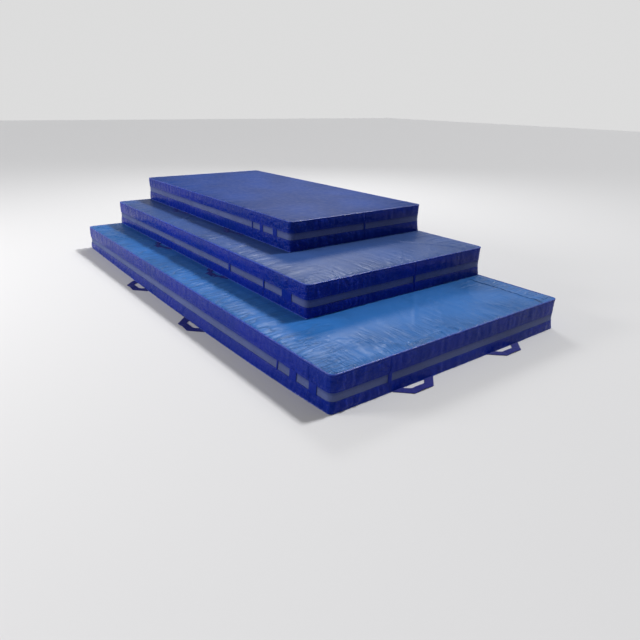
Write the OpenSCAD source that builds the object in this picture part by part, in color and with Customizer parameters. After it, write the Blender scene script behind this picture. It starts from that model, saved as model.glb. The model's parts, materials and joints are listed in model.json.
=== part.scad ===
// Set of three gymnastics landing mats in three stock sizes, stacked with two sides flush.
// Each mat is a zipped vinyl cover with a mesh vent band, over two layers of foam.
// X runs along the length, Y across the width, Z up; the origin is under the middle of the bottom mat.
// The back (+Y) and the left end (-X) of the three mats are flush.

/* [Bottom mat] */
// Length of the bottom mat, 12 ft
bottom_length = 3657.6; // [3352.8:304.8:4267.2]
// Width of the bottom mat, 6 ft
bottom_width = 1828.8; // [1676.4:152.4:2133.6]
// Height of the vent band's lower edge above the bottom mat's underside
bottom_band_z = 62; // [56:1:100]

/* [Middle mat] */
// Length of the middle mat, 10 ft
middle_length = 3048; // [2743.2:304.8:3352.8]
// Width of the middle mat, 5 ft
middle_width = 1524; // [1371.6:152.4:1676.4]
// Height of the vent band's lower edge above the middle mat's underside
middle_band_z = 66; // [56:1:100]

/* [Top mat] */
// Length of the top mat, 8 ft
top_length = 2438.4; // [2133.6:304.8:2743.2]
// Width of the top mat, 4 ft
top_width = 1219.2; // [1066.8:152.4:1371.6]
// Height of the vent band's lower edge above the top mat's underside
top_band_z = 80; // [56:1:100]

/* [Cover] */
// Thickness of every mat, 8 in
mat_thickness = 203.2; // [180:0.1:305]
// Radius of the four upright corners
corner_r = 50; // [20:1:90]
// Thickness of the padded cover panels and walls
skin = 3; // [2:0.5:5]
// Height of the mesh vent band
band_height = 48; // [30:1:60]
// Radius of the piping sewn into the top and bottom edges
piping_r = 3; // [2.5:0.5:5]

/* [Handles] */
// Length of a handle along the mat's edge, at its stitching
handle_base = 290; // [220:5:320]
// Length of a handle along its outer edge
handle_tip = 135; // [100:5:200]
// Distance that a handle stands out from its stitching
handle_reach = 75; // [65:1:100]
// Width of the handle webbing
webbing_width = 47; // [38:1:50]
// Thickness of the handle webbing
webbing_thickness = 3; // [2:0.5:4]
// Length of the webbing tabs that carry the handles past the spreading foot of the bottom mat's front
front_tab = 41; // [5:1:60]
// Length of the same tabs at the bottom mat's ends
end_tab = 12; // [5:1:60]
// Distance from the middle of a long side to the middle of each handle on it
side_handle_offset = 470; // [300:5:500]
// Distance from the middle of an end to the middle of each handle on it
end_handle_offset = 378; // [200:2:420]

/* [Zip] */
// Height of the zip tape in the back wall
tape_height = 24; // [20:1:28]
// Length of wall left at each end of the zip
zip_margin = 300; // [200:10:500]

/* [Hidden] */
$fn = 64;
MATS = ["bottom", "middle", "top"];
SIZES = [
    [bottom_length, bottom_width],
    [middle_length, middle_width],
    [top_length, top_width]
];
BAND_Z = [bottom_band_z, middle_band_z, top_band_z];
MAT_PARTS = [
    "foam_lower", "foam_upper", "top_panel", "base_panel", "upper_wall", "lower_wall", "vent_band",
    "band_ties", "top_piping", "bottom_piping", "zip_tape", "zip_chain", "zip_slider", "zip_pull"
];

// Sides of a mat, each with the angle that turns -Y to face out of it
SIDES = ["front", "right", "back", "left"];
// Handles as [mat, side, which way along the side]
HANDLES = [
    for (m = [0 : 2], s = [0 : 3], k = [-1, 1])
        if (m == 0 || s % 2 == 0) [m, s, k]
];
HANDLE_ENDS = ["a", "b"];
function handle_name(h) = str(MATS[h[0]], "_handle_", SIDES[h[1]], "_", HANDLE_ENDS[(h[2] + 1) / 2]);

// The piping takes up a square strip at each edge, and the panels and walls stop short of it
edge = 2 * piping_r;
band_skin = skin / 2;
// Ties across the vent band, as [distance from the right end, width]: long sides of each mat, then the ends
SIDE_TIES = [
    [[135, 60], [297, 58], [437, 12]],
    [[199, 98], [450, 16], [883, 25]],
    [[180, 49], [353, 40], [476, 12]]
];
END_TIES = [[368, 25], [850, 16], [646, 16]];
// Two foam blocks, split at mid-height
foam_split = mat_thickness / 2;

chain_height = 7;
chain_proud = 1;
slider_length = 16;
slider_gap = 0.3;
slider_plate = 1.4;
slider_lip = 1.6;
bail_height = 3;
pull_length = 36;
pull_width = 9;
pull_thickness = 1.6;
pin_r = 0.9;
pin_clearance = 0.06;

// Clear distance from what carries a handle to the line that the handle turns about
hinge_gap = 3;
// Height of a lying handle's underside above what it lies on
lie_gap = 0.3;
gap_depth = handle_reach - webbing_width;
gap_slope = (handle_base - handle_tip) / 2 / handle_reach;
// A leg leans, so its webbing spans more than its own width along the mat's edge
leg_width = webbing_width * sqrt(1 + gap_slope * gap_slope);
gap_base = handle_base / 2 - leg_width;
gap_tip = gap_base - gap_slope * gap_depth;

cover_blue = [0.10, 0.14, 0.55];
panel_blue = [0.28, 0.46, 0.72];
mesh_grey = [0.33, 0.36, 0.50];
foam_cream = [0.90, 0.86, 0.70];
metal_grey = [0.75, 0.76, 0.78];

function length_of(m) = SIZES[m][0];
function width_of(m) = SIZES[m][1];
function base_z(m) = m * mat_thickness;
function zip_length(m) = length_of(m) - 2 * zip_margin;
function chain_z(m) = BAND_Z[m] - tape_height * 0.75;

// Puts a mat's own parts in the stack, flush at the back and at the left end
module place(m) {
    translate([(length_of(m) - length_of(0)) / 2, (width_of(0) - width_of(m)) / 2, base_z(m)])
        children();
}

module round_rect(l, w, r) {
    square([l - 2 * r, w], center = true);
    square([l, w - 2 * r], center = true);
    for (x = [-1, 1], y = [-1, 1])
        translate([x * (l / 2 - r), y * (w / 2 - r)])
            circle(r);
}

// Outline of a mat seen from above, set in from its nominal edge
module outline(m, inset) {
    round_rect(length_of(m) - 2 * inset, width_of(m) - 2 * inset, corner_r - inset);
}

module slab(m, inset, z0, z1) {
    translate([0, 0, z0])
        linear_extrude(z1 - z0)
            outline(m, inset);
}

module hoop(m, inset, thickness, z0, z1) {
    translate([0, 0, z0])
        linear_extrude(z1 - z0)
            difference() {
                outline(m, inset);
                outline(m, inset + thickness);
            }
}

// Round bead all the way round a mat, with its middle at height z
module bead(m, z) {
    bend_r = corner_r - piping_r;
    run_x = length_of(m) - 2 * corner_r;
    run_y = width_of(m) - 2 * corner_r;
    translate([0, 0, z]) {
        for (s = [0, 180])
            rotate(s) {
                translate([-run_x / 2, -width_of(m) / 2 + piping_r, 0])
                    rotate([0, 90, 0])
                        cylinder(h = run_x, r = piping_r);
                translate([length_of(m) / 2 - piping_r, run_y / 2, 0])
                    rotate([90, 0, 0])
                        cylinder(h = run_y, r = piping_r);
                translate([run_x / 2, run_y / 2, 0])
                    rotate_extrude(angle = 90)
                        translate([bend_r, 0])
                            circle(piping_r);
                translate([run_x / 2, -run_y / 2, 0])
                    rotate([0, 0, -90])
                        rotate_extrude(angle = 90)
                            translate([bend_r, 0])
                                circle(piping_r);
            }
    }
}

module foam_lower(m) {
    color(foam_cream)
        place(m) {
            slab(m, edge, skin, edge);
            slab(m, skin, edge, foam_split);
        }
}

module foam_upper(m) {
    color(foam_cream)
        place(m) {
            slab(m, skin, foam_split, mat_thickness - edge);
            slab(m, edge, mat_thickness - edge, mat_thickness - skin);
        }
}

module top_panel(m) {
    color(panel_blue)
        place(m)
            slab(m, edge, mat_thickness - skin, mat_thickness);
}

module base_panel(m) {
    color(cover_blue)
        place(m)
            slab(m, edge, 0, skin);
}

module upper_wall(m) {
    color(cover_blue)
        place(m)
            hoop(m, 0, skin, BAND_Z[m] + band_height, mat_thickness - edge);
}

// The lower wall is cut away in the back for the zip
module lower_wall(m) {
    color(cover_blue)
        place(m)
            difference() {
                hoop(m, 0, skin, edge, BAND_Z[m]);
                zip_slot(m, tape_height, 1);
            }
}

module vent_band(m) {
    color(mesh_grey)
        place(m)
            hoop(m, band_skin, band_skin, BAND_Z[m], BAND_Z[m] + band_height);
}

// One tie: a strip of cover fabric across the band, on the side that faces -Y
module tie(half_length, half_depth, from_end, width, z) {
    translate([half_length - from_end - width / 2, -half_depth, z])
        cube([width, band_skin, band_height]);
}

module band_ties(m) {
    l = length_of(m);
    w = width_of(m);
    color(cover_blue)
        place(m) {
            for (t = SIDE_TIES[m]) {
                tie(l / 2, w / 2, t[0], t[1], BAND_Z[m]);
                rotate(180)
                    tie(l / 2, w / 2, t[0], t[1], BAND_Z[m]);
            }
            for (s = [90, 270])
                rotate(s)
                    tie(w / 2, l / 2, w - END_TIES[m][0], END_TIES[m][1], BAND_Z[m]);
        }
}

module top_piping(m) {
    color(cover_blue)
        place(m)
            bead(m, mat_thickness - piping_r);
}

module bottom_piping(m) {
    color(cover_blue)
        place(m)
            bead(m, piping_r);
}

// Straight bar in the back wall along the zip, one skin thick, or a little more to cut with
module zip_slot(m, height, spare) {
    translate([-zip_length(m) / 2, width_of(m) / 2 - skin - spare, chain_z(m) - height / 2])
        cube([zip_length(m), skin + 2 * spare, height]);
}

module zip_tape(m) {
    color(cover_blue)
        place(m)
            difference() {
                zip_slot(m, tape_height, 0);
                zip_slot(m, chain_height, 1);
            }
}

module zip_chain(m) {
    color(mesh_grey)
        place(m) {
            zip_slot(m, chain_height, 0);
            translate([0, chain_proud, 0])
                zip_slot(m, chain_height, 0);
        }
}

// The slider is parked at the right end of the zip
function slider_x(m) = zip_length(m) / 2 - slider_length;
module at_slider(m) {
    place(m)
        translate([slider_x(m), width_of(m) / 2, chain_z(m)])
            children();
}
lip_z = chain_height / 2 + slider_gap;
plate_y = chain_proud + slider_gap;
pin_y = plate_y + slider_plate + bail_height / 2;
bail_width = pull_width + 1;

// Plate over the chain with a lip above and below it, and two ears that hold the pull's pin
module zip_slider(m) {
    color(metal_grey)
        at_slider(m)
            difference() {
                union() {
                    translate([-slider_length / 2, plate_y, -lip_z - slider_lip])
                        cube([slider_length, slider_plate, 2 * (lip_z + slider_lip)]);
                    for (z = [-lip_z - slider_lip, lip_z])
                        translate([-slider_length / 2, slider_gap, z])
                            cube([slider_length, plate_y, slider_lip]);
                    for (z = [-bail_width / 2 - slider_lip, bail_width / 2])
                        translate([-bail_height / 2, plate_y, z])
                            cube([bail_height, slider_plate + bail_height, slider_lip]);
                }
                translate([0, pin_y, -lip_z - 2 * slider_lip - bail_width])
                    cylinder(h = 4 * bail_width, r = pin_r + pin_clearance);
            }
}

// Tab on its pin, lying along the zip
module zip_pull(m) {
    color(metal_grey)
        at_slider(m)
            translate([0, pin_y, 0]) {
                translate([0, 0, -bail_width / 2 - slider_lip])
                    cylinder(h = bail_width + 2 * slider_lip, r = pin_r);
                difference() {
                    union() {
                        translate([-pull_length, -pull_thickness / 2, -pull_width / 2])
                            cube([pull_length, pull_thickness, pull_width]);
                        translate([-pull_length, pull_thickness / 2, 0])
                            rotate([90, 0, 0])
                                cylinder(h = pull_thickness, d = pull_width);
                    }
                    translate([-pull_length, pull_thickness, 0])
                        rotate([90, 0, 0])
                            cylinder(h = 2 * pull_thickness, d = pull_width / 2);
                }
            }
}

// The bottom mat's front and ends carry their handles on tabs; the other handles are sewn to the seam
function tab_length(h) = h[0] > 0 || h[1] == 2 ? 0 : h[1] == 0 ? front_tab - hinge_gap : end_tab - hinge_gap;

// Puts parts on the seam that a handle is sewn to, reaching towards -Y
module at_seam(h) {
    m = h[0];
    at_end = h[1] % 2;
    place(m)
        rotate(h[1] * 90)
            translate([
                h[2] * (at_end == 1 ? end_handle_offset : side_handle_offset),
                -(at_end == 1 ? length_of(m) : width_of(m)) / 2,
                lie_gap
            ])
                children();
}

// Flat webbing under the foot of the wall, one tab for each leg of a handle
module handle_tabs() {
    color(cover_blue)
        for (h = HANDLES)
            if (tab_length(h) > 0)
                at_seam(h)
                    for (x = [-handle_base / 2, handle_base / 2 - leg_width])
                        translate([x, -tab_length(h), 0])
                            cube([leg_width, tab_length(h), webbing_thickness]);
}

// Flat loop of webbing on its turning line, reaching towards -Y
module strap() {
    translate([0, 0, -webbing_thickness / 2])
        linear_extrude(webbing_thickness)
            polygon([
                [-handle_base / 2, 0],
                [-handle_tip / 2, -handle_reach],
                [handle_tip / 2, -handle_reach],
                [handle_base / 2, 0],
                [gap_base, 0],
                [gap_tip, -gap_depth],
                [-gap_tip, -gap_depth],
                [-gap_base, 0]
            ]);
}

// Handles lie on the floor or on the mat below, and hang down where the sides are flush
module handle(h) {
    hangs = h[0] > 0 && h[1] == 2;
    color(cover_blue)
        at_seam(h)
            translate([0, -tab_length(h) - hinge_gap, webbing_thickness / 2])
                rotate([hangs ? 90 : 0, 0, 0])
                    strap();
}

for (m = [0 : 2]) {
    foam_lower(m);
    foam_upper(m);
    top_panel(m);
    base_panel(m);
    upper_wall(m);
    lower_wall(m);
    vent_band(m);
    band_ties(m);
    top_piping(m);
    bottom_piping(m);
    zip_tape(m);
    zip_chain(m);
    zip_slider(m);
    zip_pull(m);
}
handle_tabs();  // bottom_handle_tabs
for (h = HANDLES) {
    handle(h);
}
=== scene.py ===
"""Looks for a stack of three vinyl landing mats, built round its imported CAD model. Metres, Z up.

Travel is the distance round a mat's outline seen from above, counter-clockwise from the front left corner:
along the front (-Y), up the right end (+X), back along the back (+Y) and down the left end (-X).
"""
import json
import math

import bmesh
import bpy
import numpy as np
from mathutils import Matrix, Vector, noise

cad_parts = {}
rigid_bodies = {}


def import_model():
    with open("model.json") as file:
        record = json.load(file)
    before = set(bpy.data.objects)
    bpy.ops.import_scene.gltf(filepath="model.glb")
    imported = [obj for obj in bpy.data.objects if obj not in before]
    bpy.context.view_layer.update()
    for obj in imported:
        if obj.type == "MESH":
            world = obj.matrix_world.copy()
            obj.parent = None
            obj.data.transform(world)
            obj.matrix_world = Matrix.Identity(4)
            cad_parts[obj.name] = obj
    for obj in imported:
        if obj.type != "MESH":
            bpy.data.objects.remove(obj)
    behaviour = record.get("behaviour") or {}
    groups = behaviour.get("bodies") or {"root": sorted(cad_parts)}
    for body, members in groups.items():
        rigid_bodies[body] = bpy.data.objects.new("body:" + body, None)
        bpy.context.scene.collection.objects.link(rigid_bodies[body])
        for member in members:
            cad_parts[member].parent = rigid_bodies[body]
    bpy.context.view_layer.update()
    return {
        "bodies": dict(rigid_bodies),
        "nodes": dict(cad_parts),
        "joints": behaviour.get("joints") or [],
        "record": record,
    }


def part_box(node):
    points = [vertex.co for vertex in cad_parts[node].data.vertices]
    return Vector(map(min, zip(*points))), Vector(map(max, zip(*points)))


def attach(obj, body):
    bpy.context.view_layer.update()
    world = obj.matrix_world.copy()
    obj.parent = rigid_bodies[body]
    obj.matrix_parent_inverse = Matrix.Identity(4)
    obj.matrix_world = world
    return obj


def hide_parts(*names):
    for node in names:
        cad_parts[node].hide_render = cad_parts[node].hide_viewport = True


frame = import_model()

MM = 0.001
CORNER_R = 50 * MM
EDGE = 6 * MM
SKIN = 2 * MM
RIM_STEP = 9 * MM
SEAM_STEPS = [k * MM for k in (-9, -5, -2.5, 0, 2.5, 5, 9)]
ARC_STEPS = 12
FRONT, RIGHT, BACK, LEFT = range(4)


# ---------------------------------------------------------------- camera, floor and lights

CAMERA_PLACE = Vector((3.527, -2.296, 1.355))
CAMERA_HEADING = math.radians(142.35)
CAMERA_DOWN = math.radians(21.94)
CAMERA_ROLL = math.radians(-1.13)
CAMERA_LENS = 30.98


def add_object(name, data):
    made = bpy.data.objects.new(name, data)
    bpy.context.scene.collection.objects.link(made)
    return made


def add_mesh(name, verts, faces):
    mesh = bpy.data.meshes.new(name)
    mesh.from_pydata([tuple(v) for v in verts], [], [tuple(f) for f in faces])
    return add_object(name, mesh)


def add_camera():
    """The camera's place, heading, tilt and lens, and a small roll about its own line of sight."""
    forward = Vector((math.cos(CAMERA_HEADING), math.sin(CAMERA_HEADING), -math.tan(CAMERA_DOWN)))
    forward.normalize()
    right = Matrix.Rotation(CAMERA_ROLL, 3, forward) @ forward.cross(Vector((0, 0, 1))).normalized()
    up = right.cross(forward)
    camera = add_object("camera", bpy.data.cameras.new("camera"))
    camera.matrix_world = Matrix((right, up, -forward)).transposed().to_4x4()
    camera.location = CAMERA_PLACE
    camera.data.lens = CAMERA_LENS
    camera.data.clip_end = 200
    bpy.context.scene.camera = camera


FLOOR_REACH = 30
FLOOR_COLOUR = (0.66, 0.66, 0.67)
# The sky's strength at the horizon, its strength overhead, and the share of both that is left towards +X
SKY_HORIZON = 0.72
SKY_ABOVE = 0.28
SKY_RIGHT = 0.30
SUN_STRENGTH = 2.5
SUN_SPREAD = math.radians(8)
SUN_PLACE = Vector((0.03, 0.60, 0.80))
# Windows: place, what they face, size, watts and tint
WINDOWS = {
    "window": ((-2.2, -6.0, 2.8), (-0.3, 0, 0.2), (2.4, 1.4), 215, (1.0, 0.98, 0.96)),
    "far_window": ((-4.0, 3.3, 4.6), (1.3, -0.5, 0.2), (2.2, 1.3), 135, (1, 1, 1)),
}


def add_light(name, data, place, facing):
    light = add_object(name, data)
    light.location = place
    light.rotation_euler = (Vector(facing) - Vector(place)).to_track_quat("-Z", "Y").to_euler()


def add_sky():
    """A white horizon under a dimmer sky, with less light on the right, +X."""
    world = bpy.data.worlds.new("sky")
    world.use_nodes = True
    sky = Nodes(world.node_tree)
    split = sky.node("SeparateXYZ", [("Vector", sky.node("TexCoord").outputs["Generated"])])
    height = sky.between(split.outputs["Z"], 0.18, 0.32, SKY_HORIZON, SKY_ABOVE, "SMOOTHSTEP")
    side = sky.between(split.outputs["X"], -0.1, 0.7, 1.0, SKY_RIGHT, "SMOOTHSTEP")
    background = sky.tree.nodes["Background"]
    sky.tree.links.new(sky.math("MULTIPLY", height, side), background.inputs["Strength"])
    background.inputs["Color"].default_value = (1, 1, 1, 1)
    bpy.context.scene.world = world


def add_stage():
    """A pale floor under a plain sky, with a soft sun overhead and windows at the front left and back left."""
    corners = [(x * FLOOR_REACH, y * FLOOR_REACH, 0) for x, y in ((-1, -1), (1, -1), (1, 1), (-1, 1))]
    floor = add_mesh("floor", corners, [(0, 1, 2, 3)])
    floor.data.materials.append(Surface("floor_paint", FLOOR_COLOUR, roughness=0.85).material)

    add_sky()
    sun = bpy.data.lights.new("ceiling", "SUN")
    sun.energy = SUN_STRENGTH
    sun.angle = SUN_SPREAD
    add_light("ceiling", sun, SUN_PLACE, (0, 0, 0))
    for name, (place, facing, size, power, tint) in WINDOWS.items():
        data = bpy.data.lights.new(name, "AREA")
        data.shape = "RECTANGLE"
        data.size, data.size_y = size
        data.energy = power
        data.color = tint
        add_light(name, data, place, facing)
    bpy.context.scene.view_settings.view_transform = "Standard"


# ---------------------------------------------------------------- materials


class Nodes:
    """Short ways to add nodes to a node tree."""

    def __init__(self, tree):
        self.tree = tree

    def node(self, kind, links=(), **settings):
        made = self.tree.nodes.new("ShaderNode" + kind)
        for key, value in settings.items():
            if key in made.inputs:
                made.inputs[key].default_value = value
            else:
                setattr(made, key, value)
        for socket, source in links:
            self.tree.links.new(source, made.inputs[socket])
        return made

    def between(self, value, low, high, to_low, to_high, ease="LINEAR"):
        made = self.node("MapRange", [("Value", value)], interpolation_type=ease)
        sockets = ("From Min", "From Max", "To Min", "To Max")
        for socket, number in zip(sockets, (low, high, to_low, to_high)):
            made.inputs[socket].default_value = number
        return made.outputs["Result"]

    def math(self, operation, first, second=None):
        made = self.node("Math", operation=operation)
        for socket, value in enumerate((first, second)):
            if isinstance(value, (int, float)):
                made.inputs[socket].default_value = value
            elif value is not None:
                self.tree.links.new(value, made.inputs[socket])
        return made.outputs["Value"]


class Surface(Nodes):
    """A Principled material, with short ways to add the nodes that drive it."""

    def __init__(self, name, colour, roughness, **sockets):
        self.material = bpy.data.materials.new(name)
        self.material.use_nodes = True
        super().__init__(self.material.node_tree)
        self.shader = self.tree.nodes["Principled BSDF"]
        self.shader.inputs["Base Color"].default_value = (*colour, 1)
        self.shader.inputs["Roughness"].default_value = roughness
        for socket, value in sockets.items():
            self.shader.inputs[socket.replace("_", " ")].default_value = value
        self.place = self.node("TexCoord").outputs["Object"]
        self.bump = None

    def axes(self):
        """The place's X, Y and Z, as sockets."""
        split = self.node("SeparateXYZ", [("Vector", self.place)])
        return [split.outputs[axis] for axis in ("X", "Y", "Z")]

    def scaled(self, scale):
        mapping = self.node("Mapping", [("Vector", self.place)])
        mapping.inputs["Scale"].default_value = scale
        return mapping.outputs["Vector"]

    def noise(self, size, detail=3.0, stretch=(1, 1, 1), distortion=0.0):
        """Noise from 0 to 1, with lumps of about this size in metres."""
        vector = self.scaled(tuple(1 / (size * s) for s in stretch))
        settings = {"Scale": 1.0, "Detail": detail, "Distortion": distortion}
        return self.node("TexNoise", [("Vector", vector)], **settings).outputs["Fac"]

    def ridges(self, size, stretch=(1, 1, 1)):
        """Rounded ridges from 0 to 1 between narrow valleys."""
        centred = self.math("SUBTRACT", self.noise(size, 2.0, stretch, 0.3), 0.5)
        folded = self.math("ABSOLUTE", self.math("MULTIPLY", centred, 4.0))
        return self.math("MINIMUM", self.math("POWER", folded, 0.6), 1.0)

    def waves(self, value, pitch):
        return self.math("SINE", self.math("MULTIPLY", value, 2 * math.pi / pitch))

    def mark(self, name):
        """A number that the mesh's points carry under this name, or 0 if they don't."""
        return self.node("Attribute", attribute_name=name).outputs["Fac"]

    def mix(self, factor, first, second):
        """Colour mix; first and second are colours or sockets."""
        made = self.node("Mix", [("Factor", factor)], data_type="RGBA")
        for socket, value in ((6, first), (7, second)):
            if isinstance(value, tuple):
                made.inputs[socket].default_value = (*value, 1)
            else:
                self.tree.links.new(value, made.inputs[socket])
        return made.outputs[2]

    def add_bump(self, height, strength, depth):
        """Bump of this depth in metres, laid over any bump that is there already."""
        made = self.node("Bump", [("Height", height)], Strength=strength, Distance=depth)
        if self.bump is not None:
            self.tree.links.new(self.bump, made.inputs["Normal"])
        self.bump = made.outputs["Normal"]
        self.drive("Normal", self.bump)

    def drive(self, socket, value):
        self.tree.links.new(value, self.shader.inputs[socket])


def shade(colour, factor):
    return tuple(min(1.0, c * factor) for c in colour)


# Gathers drawn as bump, with painted shade in their valleys: the mark that calls them up, stretch, size,
# depth, and how dark the painted shade in their valleys is
GATHER_BUMPS_AND_SHADE = (
    ("side_gather", (1, 7, 1), 0.044, 7 * MM, 0.75),
    ("end_gather", (7, 1, 1), 0.026, 4 * MM, 0.30),
)
SCRIM_PITCH = 1.6 * MM
MESH_PITCH = 4.2 * MM
WEAVE_PITCH = 3.0 * MM


def vinyl(name, colour, roughness, crinkle, gloss=0.35, wear=(1.25, 0.8), patch=None):
    """Vinyl-coated fabric: the scrim's fine squares show through the coating, over soft creases.

    The patch colour comes and goes in large soft patches. Four marks on a mesh's points call up fine gathers
    across the mat's sides or its ends with painted shade in their valleys, sharp crumpling, and painted shade
    along the fold of a seam."""
    surface = Surface(name, colour, roughness, Specular_IOR_Level=gloss)
    clouds = surface.between(surface.noise(0.45, 4.0), 0.35, 0.65, 0, 1)
    fine = surface.noise(0.035, 5.0)
    tone = surface.mix(clouds, shade(colour, wear[1]), patch or shade(colour, 1.1))
    rubbed = surface.between(fine, 0.58, 0.80, 0.0, 0.35)
    tone = surface.mix(rubbed, tone, shade(colour, wear[0]))
    surface.drive("Roughness", surface.between(fine, 0.3, 0.7, roughness - 0.06, roughness + 0.08))
    surface.add_bump(surface.noise(0.09, 4.0, distortion=0.6), 0.5, crinkle)
    surface.add_bump(surface.noise(0.022, distortion=1.2), 0.35, crinkle * 0.35)
    for mark, stretch, size, depth, dark in GATHER_BUMPS_AND_SHADE:
        folds = surface.ridges(size, stretch)
        # Painted shade: the gathers' valleys are darkened as if in the shade of their folds
        painted_valley_shade = surface.math("MULTIPLY", surface.between(folds, 0.0, 0.40, dark, 0), surface.mark(mark))
        tone = surface.mix(painted_valley_shade, tone, shade(colour, 0.50))
        surface.add_bump(surface.math("MULTIPLY", folds, surface.mark(mark)), 1.0, depth)
    # Painted shade along the fold of a seam, wherever the seam mark is set
    surface.drive("Base Color", surface.mix(surface.mark("seam"), tone, shade(colour, 0.22)))
    crumpled = surface.math("ADD", surface.ridges(0.070, (1, 1, 1.6)), surface.ridges(0.026))
    surface.add_bump(surface.math("MULTIPLY", crumpled, surface.mark("crumple")), 1.0, 4.0 * MM)
    threads = [surface.waves(axis, SCRIM_PITCH) for axis in surface.axes()]
    scrim = surface.math("ADD", surface.math("ADD", threads[0], threads[1]), threads[2])
    surface.add_bump(scrim, 0.12, 0.05 * MM)
    return surface.material


def mesh_cloth(name, colour):
    """Open knitted mesh: rows of small holes between threads. The holes carry painted shade, and the mesh is
    painted darker in the shade of the upper wall.
    """
    surface = Surface(name, colour, 0.62, Specular_IOR_Level=0.2, Sheen_Weight=0.08, Sheen_Roughness=0.5)
    x, y, z = surface.axes()
    holes = [surface.waves(value, MESH_PITCH) for value in (surface.math("ADD", x, y), z)]
    hole = surface.between(surface.math("MULTIPLY", *holes), 0.15, 0.55, 0, 1)
    clouds = surface.between(surface.noise(0.16, 4.0), 0.35, 0.65, 0, 1)
    tone = surface.mix(clouds, shade(colour, 0.88), shade(colour, 1.12))
    shaded = surface.between(surface.mark("band_share"), 0.55, 0.85, 0, 1)
    tone = surface.mix(shaded, tone, (colour[0] * 0.35, colour[1] * 0.45, colour[2] * 0.75))
    # Painted shade: the holes are darkened as if showing the shade inside the mat
    surface.drive("Base Color", surface.mix(hole, tone, shade(colour, 0.45)))
    surface.add_bump(surface.math("MULTIPLY", hole, -1.0), 0.6, 0.5 * MM)
    return surface.material


def webbing(name, colour):
    """Woven strap: ribs in a herringbone, with a little fuzz."""
    surface = Surface(name, colour, 0.5, Specular_IOR_Level=0.2, Sheen_Weight=0.05, Sheen_Roughness=0.4)
    x, y, _ = surface.axes()
    ribs = [surface.waves(surface.math(way, x, y), WEAVE_PITCH) for way in ("ADD", "SUBTRACT")]
    weave = surface.math("MULTIPLY", *ribs)
    raised = surface.between(weave, -1, 1, 0, 1)
    surface.drive("Base Color", surface.mix(raised, shade(colour, 0.8), shade(colour, 1.25)))
    surface.add_bump(weave, 0.5, 0.5 * MM)
    surface.add_bump(surface.noise(0.004, 4.0), 0.3, 0.3 * MM)
    return surface.material


def foam(name, colour):
    """Open-cell foam: fine pores and a slight mottle."""
    surface = Surface(name, colour, 0.9)
    pores = surface.node("TexVoronoi", [("Vector", surface.scaled((500, 500, 500)))], Scale=1.0)
    surface.drive("Base Color", surface.mix(surface.noise(0.12), shade(colour, 0.85), shade(colour, 1.05)))
    surface.add_bump(pores.outputs["Distance"], 0.6, 0.6 * MM)
    return surface.material


def grained(name, colour, roughness, grain, tones, bump, uneven=None, sockets=None):
    """A hard or spun finish with one fine grain: its size, detail and stretch, its two tones, its bump's
    strength and depth, and how it makes the roughness uneven."""
    surface = Surface(name, colour, roughness, **(sockets or {}))
    fine = surface.noise(*grain)
    surface.drive("Base Color", surface.mix(fine, shade(colour, tones[0]), shade(colour, tones[1])))
    if uneven:
        surface.drive("Roughness", surface.between(fine, *uneven))
    surface.add_bump(fine, *bump)
    return surface.material


WALL_PATCH = (0.003, 0.016, 0.28)
# Each finish: its kind and colour, and for some kinds its roughness and other settings
FINISHES = {
    "bottom_top_vinyl": (vinyl, (0.022, 0.135, 0.42), 0.42, 1.4 * MM, 0.25),
    "middle_top_vinyl": (vinyl, (0.034, 0.084, 0.27), 0.42, 1.2 * MM, 0.20),
    "top_top_vinyl": (vinyl, (0.012, 0.048, 0.24), 0.50, 1.0 * MM, 0.06),
    "wall_vinyl": (vinyl, (0.001, 0.024, 0.30), 0.27, 1.8 * MM, 0.10, (1.4, 0.75), WALL_PATCH),
    "base_vinyl": (vinyl, (0.012, 0.016, 0.09), 0.6, 0.8 * MM),
    "piping": (vinyl, (0.022, 0.060, 0.42), 0.28, 0.6 * MM),
    "vent_mesh": (mesh_cloth, (0.095, 0.130, 0.33)),
    "webbing": (webbing, (0.006, 0.012, 0.19)),
    "thread": (grained, (0.04, 0.08, 0.40), 0.45, (0.0012, 2.0, (1, 1, 3)), (0.75, 1.2),
               (0.5, 0.2 * MM), None, {"Sheen_Weight": 0.3}),
    "foam": (foam, (0.80, 0.72, 0.48)),
    "zip_tape": (webbing, (0.010, 0.014, 0.11)),
    "zip_teeth": (grained, (0.014, 0.018, 0.12), 0.35, (0.002,), (0.85, 1.15), (0.2, 0.1 * MM),
                  (0.3, 0.7, 0.28, 0.45)),
    "zip_metal": (grained, (0.56, 0.57, 0.60), 0.3, (0.0015, 3.0, (8, 1, 1)), (0.85, 1.1),
                  (0.2, 0.05 * MM), (0.2, 0.8, 0.22, 0.42), {"Metallic": 1.0}),
}
MATERIALS = {name: kind(name, *settings) for name, (kind, *settings) in FINISHES.items()}


# ---------------------------------------------------------------- mesh helpers


def piece(name, verts, faces, body, slot, material=None, sharp=50):
    """A finished mesh that rides on a CAD body and takes its finish from a material slot."""
    made = add_mesh(name, verts, faces)
    made.data.validate()
    made.data.shade_smooth()
    made.data.set_sharp_from_angle(angle=math.radians(sharp))
    made.data.materials.append(MATERIALS[material or slot])
    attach(made, body)
    return made


def add_marks(made, **marks):
    """Puts numbers on a mesh's points, for its material to read. Marks may cover only the first points."""
    for name, values in marks.items():
        layer = made.data.attributes.new(name, "FLOAT", "POINT")
        padded = np.zeros(len(made.data.vertices), dtype=np.float32)
        padded[:values.size] = values.ravel()
        layer.data.foreach_set("value", padded)


def grid_faces(rows, columns, wrap=False, first=0, flip=False):
    """Quads over a grid of points stored row by row; wrap joins the last row to the first."""
    i, j = np.meshgrid(np.arange(rows if wrap else rows - 1), np.arange(columns - 1), indexing="ij")
    k = (i + 1) % rows
    near, far = i * columns + j, k * columns + j
    quads = np.stack([near, far, far + 1, near + 1], -1).reshape(-1, 4)
    if flip:
        quads = quads[:, ::-1]
    return quads + first


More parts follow.
